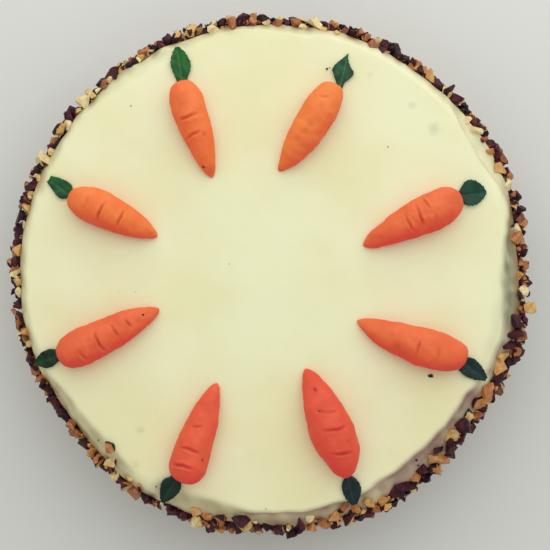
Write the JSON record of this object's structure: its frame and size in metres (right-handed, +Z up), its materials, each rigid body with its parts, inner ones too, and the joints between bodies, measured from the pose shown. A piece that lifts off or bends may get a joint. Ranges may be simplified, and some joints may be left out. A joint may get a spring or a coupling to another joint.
{
  "type": "carrot cake",
  "caption": "Round iced carrot cake with a coat of chopped nuts round its side and marzipan carrots lying on top like spokes.",
  "frame": {"origin": "bottom centre of the cake, where its axis meets the surface it stands on", "axes": "+Z up along the cake's axis; +X to the right and +Y away, as seen by someone who looks down on it"},
  "size_m": [0.2642, 0.2644, 0.0821],
  "materials": {
    "cream_icing": "smooth satin cream icing with faint palette knife marks",
    "chopped_nuts": "rough chopped nuts, pale cut faces and dark skins",
    "orange_marzipan": "matt hand-rolled marzipan with pressed creases",
    "green_marzipan": "satin dark green, with a pressed middle rib"
  },
  "bodies": {
    "root": {"iced_cake": "cream_icing", "nut_coat": "chopped_nuts", "carrot_1": "orange_marzipan", "carrot_2": "orange_marzipan", "carrot_3": "orange_marzipan", "carrot_4": "orange_marzipan", "carrot_5": "orange_marzipan", "carrot_6": "orange_marzipan", "carrot_7": "orange_marzipan", "carrot_8": "orange_marzipan", "leaf_1": "green_marzipan", "leaf_2": "green_marzipan", "leaf_3": "green_marzipan", "leaf_4": "green_marzipan", "leaf_5": "green_marzipan", "leaf_6": "green_marzipan", "leaf_7": "green_marzipan", "leaf_8": "green_marzipan"}
  },
  "joints": []
}
